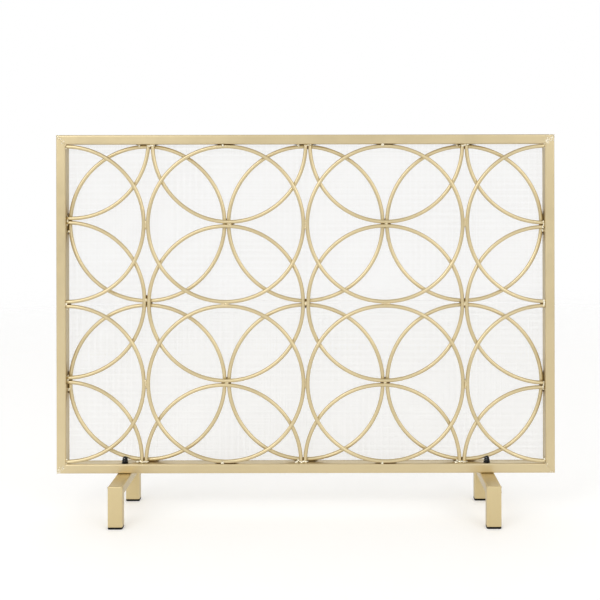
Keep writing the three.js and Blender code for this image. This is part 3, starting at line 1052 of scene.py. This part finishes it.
def black_steel():
    """The glossy black finish of the bolts, washers and cap nuts."""
    material, nodes = new_material("black_steel", 0.0, 0.14, Specular_IOR_Level=0.16)
    tone = nodes.spread(nodes.noise(260, 4, 0.6), 0, 1)
    nodes.feed(nodes.mix(tone, (0.002, 0.002, 0.002), (0.006, 0.006, 0.005)), "Base Color")
    nodes.feed(nodes.spread(nodes.noise(520, 4, 0.7), 0.09, 0.16), "Roughness")
    nodes.feed(nodes.bump(nodes.noise(1500, 3, 0.6), 0.00001, 0.7), "Normal")
    return material


def foot_rubber():
    """Matt black rubber with a fine grain."""
    material, nodes = new_material("foot_rubber", 0.0, 0.7, Specular_IOR_Level=0.15)
    tone = nodes.spread(nodes.noise(180, 4, 0.6), 0, 1)
    nodes.feed(nodes.mix(tone, (0.004, 0.004, 0.004), (0.011, 0.010, 0.010)), "Base Color")
    nodes.feed(nodes.spread(nodes.noise(300, 3), 0.62, 0.82), "Roughness")
    nodes.feed(nodes.bump(nodes.noise(1800, 3, 0.7), 0.00003, 0.8), "Normal")
    return material


# -------- stage, lights and camera


# How far from the screen the floor starts to fade into the surround, and where it is gone.
FLOOR_FADE = (1.6, 4.5)
FLOOR_COLOUR = (0.90, 0.895, 0.885, 1)
FLOOR_GLOW_COLOUR = (1, 1, 0.99, 1)
FLOOR_GLOW = 0.1
# (Y, glow) that the camera sees on top: less where the softboxes light the floor, more near the screen.
FLOOR_LIFT = ((-0.9, -0.05), (-0.45, 0.11))
# (height on a unit sphere, brightness) of the surround.
WORLD_STOPS = ((0.0, 0.86), (0.12, 0.92), (0.25, 1.45), (0.5, 1.15), (1.0, 0.65))
ROOM_SIDE = 0.8
FIRE_SIDE = 0.86

CAMERA_PLACE = (0.062, -1.998, 0.709)
CAMERA_ROLL = -0.1
CAMERA_SENSOR = 36
CAMERA_LENS = 56.6
CAMERA_SHIFT = (-0.0578, -0.2030)


def add_floor():
    """A wide pale floor that fades into the white surround."""
    size = FLOOR_FADE[1] + 0.5
    corners = [(-size, -size, 0), (size, -size, 0), (size, size, 0), (-size, size, 0)]
    mesh = bpy.data.meshes.new("floor")
    mesh.from_pydata(corners, [], [(0, 1, 2, 3)])
    floor = bpy.data.objects.new("floor", mesh)
    bpy.context.scene.collection.objects.link(floor)
    mesh.materials.append(floor_material())
    floor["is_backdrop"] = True


def floor_material():
    """Pale and a little bright of itself, with an edge that fades away."""
    material, nodes = new_material(
        "floor_white",
        0.0,
        0.6,
        Base_Color=FLOOR_COLOUR,
        Specular_IOR_Level=0.2,
        Emission_Color=FLOOR_GLOW_COLOUR,
    )
    new = nodes.tree.nodes.new
    split = new("ShaderNodeSeparateXYZ")
    nodes.link(nodes.place, split.inputs[0])
    (far, far_lift), (near, near_lift) = FLOOR_LIFT
    lift = map_range(nodes.tree, split.outputs["Y"], far, near, far_lift, near_lift)
    glow = new("ShaderNodeMath")
    glow.operation = "MULTIPLY_ADD"
    glow.inputs[2].default_value = FLOOR_GLOW
    nodes.link(new("ShaderNodeLightPath").outputs["Is Camera Ray"], glow.inputs[0])
    nodes.link(lift, glow.inputs[1])
    nodes.feed(glow.outputs["Value"], "Emission Strength")
    away = new("ShaderNodeVectorMath")
    away.operation = "LENGTH"
    nodes.link(nodes.place, away.inputs[0])
    fade = map_range(nodes.tree, away.outputs["Value"], *FLOOR_FADE, 1, 0)
    fade.node.interpolation_type = "SMOOTHSTEP"
    nodes.feed(fade, "Alpha")
    return material


def add_world():
    """A white surround. What it lights with is a little darker overhead and on the room side."""
    world = bpy.data.worlds.new("studio")
    bpy.context.scene.world = world
    world.use_nodes = True
    tree = world.node_tree
    new, link = tree.nodes.new, tree.links.new
    split = new("ShaderNodeSeparateXYZ")
    link(new("ShaderNodeTexCoord").outputs["Generated"], split.inputs[0])
    ramp = new("ShaderNodeValToRGB")
    link(split.outputs["Z"], ramp.inputs["Fac"])
    elements = ramp.color_ramp.elements
    elements[0].position, elements[1].position = WORLD_STOPS[0][0], WORLD_STOPS[-1][0]
    for position, _ in WORLD_STOPS[1:-1]:
        elements.new(position)
    for element, (_, value) in zip(elements, WORLD_STOPS):
        element.color = (value, value, value, 1)
    sideways = map_range(tree, split.outputs["Y"], -1, 1, ROOM_SIDE, FIRE_SIDE)
    product = new("ShaderNodeVectorMath")
    product.operation = "SCALE"
    link(ramp.outputs["Color"], product.inputs[0])
    link(sideways, product.inputs["Scale"])
    lighting = tree.nodes["Background"]
    link(product.outputs["Vector"], lighting.inputs["Color"])
    seen = new("ShaderNodeBackground")
    seen.inputs["Color"].default_value = (1, 1, 1, 1)
    chosen = new("ShaderNodeMixShader")
    link(new("ShaderNodeLightPath").outputs["Is Camera Ray"], chosen.inputs["Fac"])
    link(lighting.outputs["Background"], chosen.inputs[1])
    link(seen.outputs["Background"], chosen.inputs[2])
    link(chosen.outputs["Shader"], tree.nodes["World Output"].inputs["Surface"])


def add_softbox(name, place, target, size, power, only=()):
    """A soft rectangular light that faces its target. With pieces in only, it lights nothing else."""
    light = bpy.data.lights.new(name, "AREA")
    light.shape = "RECTANGLE"
    light.size, light.size_y = size
    light.energy = power
    lamp = bpy.data.objects.new(name, light)
    bpy.context.scene.collection.objects.link(lamp)
    if only:
        lit = bpy.data.collections.new(f"{name}_lights")
        for piece in only:
            lit.objects.link(piece)
        lamp.light_linking.receiver_collection = lit
    lamp.location = place
    lamp.rotation_euler = (Vector(target) - Vector(place)).to_track_quat("-Z", "Y").to_euler()


def add_camera():
    """A level camera that looks along +Y, with its lens shifted down to the screen."""
    camera = bpy.data.cameras.new("camera")
    camera.sensor_width = CAMERA_SENSOR
    camera.lens = CAMERA_LENS
    camera.shift_x, camera.shift_y = CAMERA_SHIFT
    holder = bpy.data.objects.new("camera", camera)
    bpy.context.scene.collection.objects.link(holder)
    level = Matrix.Rotation(math.pi / 2, 4, "X")
    roll = Matrix.Rotation(math.radians(CAMERA_ROLL), 4, "Z")
    holder.matrix_world = Matrix.Translation(CAMERA_PLACE) @ level @ roll
    bpy.context.scene.camera = holder


# -------- the whole scene


def add_screen():
    """Every piece of the fireplace screen."""
    frame_paint = gold_paint("frame_paint", (0.715, 0.595, 0.36))
    ring_paint = gold_paint("ring_paint", (0.72, 0.60, 0.355), roughness=0.33)
    leg_paint = gold_paint("leg_paint", (0.73, 0.60, 0.335))
    # The weld, ground weld and tack paints are paler than the gold: partly bright weld metal, partly a
    # painted highlight standing in for the glints on the lumps.
    weld_paint_with_painted_glint = gold_paint("weld_paint_with_painted_glint", (0.93, 0.88, 0.73), roughness=0.24, peel=3)
    ground_paint_with_painted_glint = gold_paint("ground_weld_paint_with_painted_glint", (0.91, 0.84, 0.67), roughness=0.26, peel=3)
    tack_paint_with_painted_glint = gold_paint("tack_paint_with_painted_glint", (0.80, 0.70, 0.48), roughness=0.28, peel=3)
    scorch_and_shade, black, rubber = scorch_and_crevice_shade(), black_steel(), foot_rubber()
    add_frame(frame_paint, ground_paint_with_painted_glint)
    add_rings(ring_paint)
    weld_paints = {"welds": weld_paint_with_painted_glint, "tacks": tack_paint_with_painted_glint, "weld_roots_and_shade": scorch_and_shade}
    for layer in LAYERS:
        for kind, blobs in ring_welds(layer).items():
            mesh = make_mesh(f"{layer}_ring_{kind}", *merge(blobs))
            add_piece(f"{layer}_ring_{kind}", mesh, weld_paints[kind], "screen")
    add_strips(frame_paint)
    add_spark_mesh(wire_metal())
    for side in ("left", "right"):
        add_leg(side, leg_paint, rubber)
        add_fasteners(side, black)


def add_studio():
    """The floor, the surround, the softboxes and the camera."""
    add_floor()
    add_world()
    add_softbox("key", (-2.1, -2.3, 1.7), (0, 0, 0.5), (1.4, 1.6), 12)
    add_softbox("fill", (2.0, -2.3, 1.7), (0, 0, 0.5), (1.4, 1.6), 12)
    add_softbox("spark", (-1.1, -2.3, 2.2), (0, 0, 0.2), (0.9, 1.0), 8)
    cap_nuts = [bpy.data.objects[f"{side}_cap_nut_steel"] for side in ("left", "right")]
    add_softbox("nut_gloss", (-1.3, -2.0, 1.5), (0, 0, 0.13), (1.6, 1.8), 290, cap_nuts)
    add_camera()
    bpy.context.scene.view_settings.view_transform = "Standard"
    bpy.context.scene.view_settings.look = "None"


add_screen()
add_studio()

visual_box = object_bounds()
boxes = {"cad_box": cad_box, "visual_box": visual_box}
{name: [list(corner) for corner in corners] for name, corners in boxes.items()}
